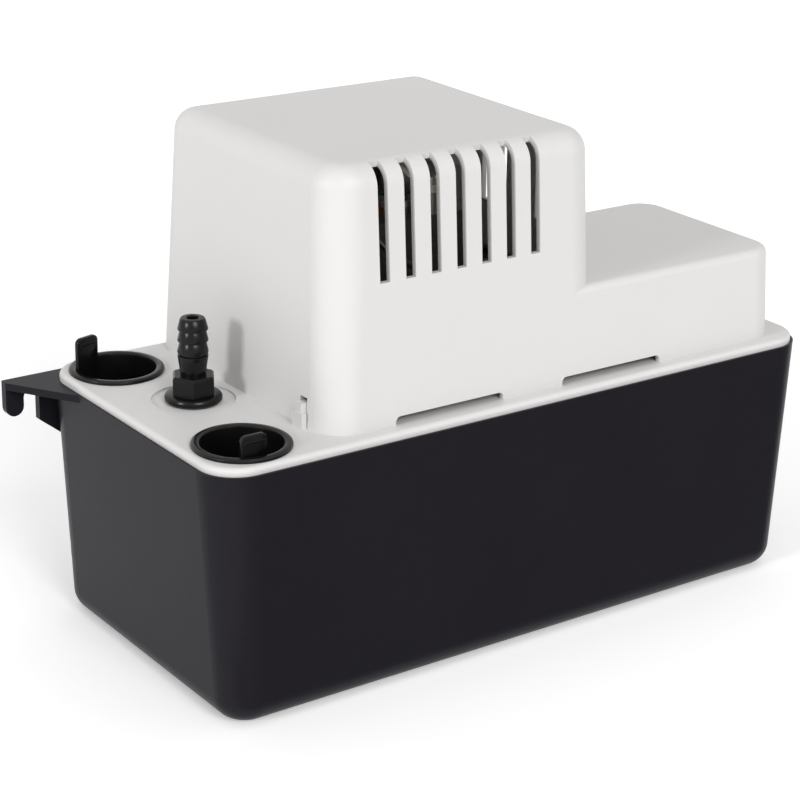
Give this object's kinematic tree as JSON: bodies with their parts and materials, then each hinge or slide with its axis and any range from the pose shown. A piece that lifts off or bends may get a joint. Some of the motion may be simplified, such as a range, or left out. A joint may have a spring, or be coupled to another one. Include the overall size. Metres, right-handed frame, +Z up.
{
  "type": "condensate pump",
  "caption": "Condensate pump: long black tank with hanger ears, white vented two-step cover, barbed hose outlet and capped inlets beside it, vertical motor, float and switches inside.",
  "frame": {"origin": "centre of the tank's base, on the floor or shelf the pump stands on", "axes": "+X along the tank from the hose outlet end to the cord end, +Y from the front to the back, +Z up, vertical shaft line parallel to it"},
  "size_m": [0.3028, 0.1274, 0.191],
  "materials": {
    "tank_plastic": "moulded ABS, fine texture, satin",
    "housing_plastic": "moulded ABS, warm white, satin",
    "black_plastic": "moulded polypropylene, satin",
    "natural_plastic": "unfilled nylon, off-white",
    "switch_plastic": "moulded phenolic, dark",
    "orange_plastic": "moulded, smooth",
    "black_rubber": "moulded rubber, matt",
    "float_foam": "closed-cell rubber foam, matt skin",
    "black_lead": "wire insulation, smooth",
    "white_lead": "wire insulation, smooth",
    "green_lead": "wire insulation, smooth",
    "lamination_steel": "steel laminations, thin dark varnish",
    "plated_steel": "zinc-plated pressed steel",
    "bright_steel": "stainless steel, ground or drawn",
    "cast_aluminium": "die-cast aluminium",
    "copper": "bare copper bar",
    "brass": "stamped brass",
    "bronze": "oil-filled sintered bronze",
    "coil_wrap": "enamelled winding under varnished tape"
  },
  "bodies": {
    "tank": {"tank": "tank_plastic"},
    "deck_unit": {"deck": "housing_plastic", "outlet_fitting": "black_plastic", "outlet_seal": "black_rubber", "check_valve_body": "black_plastic", "check_valve_spring": "bright_steel", "power_cord_bushing": "black_rubber", "safety_lead_grommet": "black_rubber", "stator_core": "lamination_steel", "shading_rings": "copper", "coil_bobbin": "natural_plastic", "coil_winding": "coil_wrap", "lower_bearing_bracket": "plated_steel", "upper_bearing_bracket": "plated_steel", "lower_bearing": "bronze", "upper_bearing": "bronze", "motor_plate": "plated_steel", "motor_spacers": "plated_steel", "motor_bolts": "plated_steel", "motor_nuts": "plated_steel", "plate_screws": "plated_steel", "pump_volute": "black_plastic", "shaft_bushing": "bronze", "volute_cover": "black_plastic", "volute_screws": "bright_steel", "pump_column": "black_plastic", "column_screws": "bright_steel", "discharge_tube": "black_rubber", "tube_clamps": "bright_steel", "float_bracket": "bright_steel", "float_pivot_pin": "bright_steel", "bracket_screws": "bright_steel", "switch_bracket": "plated_steel", "run_switch": "switch_plastic", "safety_switch": "switch_plastic", "switch_terminals": "brass", "switch_screws": "plated_steel", "wire_nuts": "orange_plastic", "lead_switch_motor": "black_lead", "lead_motor_neutral": "white_lead", "lead_ground": "green_lead"},
    "cover": {"motor_cover": "housing_plastic"},
    "plug_front": {"inlet_plug_front": "black_plastic"},
    "plug_rear": {"inlet_plug_rear": "black_plastic"},
    "plug_side": {"inlet_plug_side": "black_plastic"},
    "rotor": {"motor_shaft": "bright_steel", "rotor_core": "lamination_steel", "rotor_end_rings": "cast_aluminium", "cooling_fan": "natural_plastic", "water_slinger": "black_rubber", "impeller": "natural_plastic"},
    "float_crank": {"float_arm": "bright_steel", "float": "float_foam", "float_screws": "bright_steel", "trip_bar": "bright_steel"},
    "poppet": {"check_valve_poppet": "black_rubber"},
    "run_lever": {"run_switch_lever": "bright_steel"},
    "safety_lever": {"safety_switch_lever": "bright_steel"},
    "run_button": {"run_switch_button": "orange_plastic"},
    "safety_button": {"safety_switch_button": "orange_plastic"}
  },
  "joints": [
    {"name": "deck_lift", "type": "slide", "parent": "tank", "child": "deck_unit", "axis": [0, 0, 1], "range_m": [0, 0.1]},
    {"name": "cover_lift", "type": "slide", "parent": "deck_unit", "child": "cover", "axis": [0, 0, 1], "range_m": [0, 0.1]},
    {"name": "plug_front_lift", "type": "slide", "parent": "deck_unit", "child": "plug_front", "axis": [0, 0, 1], "range_m": [0, 0.03]},
    {"name": "plug_rear_lift", "type": "slide", "parent": "deck_unit", "child": "plug_rear", "axis": [0, 0, 1], "range_m": [0, 0.03]},
    {"name": "plug_side_lift", "type": "slide", "parent": "deck_unit", "child": "plug_side", "axis": [0, 0, 1], "range_m": [0, 0.03]},
    {"name": "shaft_turn", "type": "hinge", "parent": "deck_unit", "child": "rotor", "pos_m": [-0.02, 0.004, 0.147], "axis": [0, 0, 1], "continuous": true},
    {"name": "float_turn", "type": "hinge", "parent": "deck_unit", "child": "float_crank", "pos_m": [0.054, 0.003, 0.088], "axis": [0, -1, 0], "range_deg": [0, 16]},
    {"name": "run_lever_turn", "type": "hinge", "parent": "deck_unit", "child": "run_lever", "pos_m": [0.0374, -0.0031, 0.126], "axis": [0, 1, 0], "range_deg": [0, 20]},
    {"name": "safety_lever_turn", "type": "hinge", "parent": "deck_unit", "child": "safety_lever", "pos_m": [0.0374, 0.0091, 0.126], "axis": [0, 1, 0], "range_deg": [0, 20]},
    {"name": "run_button_press", "type": "slide", "parent": "deck_unit", "child": "run_button", "axis": [-1, 0, 0], "range_m": [0, 0.0025]},
    {"name": "safety_button_press", "type": "slide", "parent": "deck_unit", "child": "safety_button", "axis": [-1, 0, 0], "range_m": [0, 0.0025]},
    {"name": "poppet_lift", "type": "slide", "parent": "deck_unit", "child": "poppet", "axis": [0, 0, 1], "range_m": [0, 0.004], "stiffness_N_per_m": 50, "deforming": ["check_valve_spring"]}
  ],
  "couplings": [
    {"joint": "run_lever_turn", "follows": "float_turn", "ratio": 1.25},
    {"joint": "safety_lever_turn", "follows": "float_turn", "ratio": 1.25},
    {"joint": "run_button_press", "follows": "float_turn", "m_per_rad": 0.00895},
    {"joint": "safety_button_press", "follows": "float_turn", "m_per_rad": 0.00895}
  ]
}
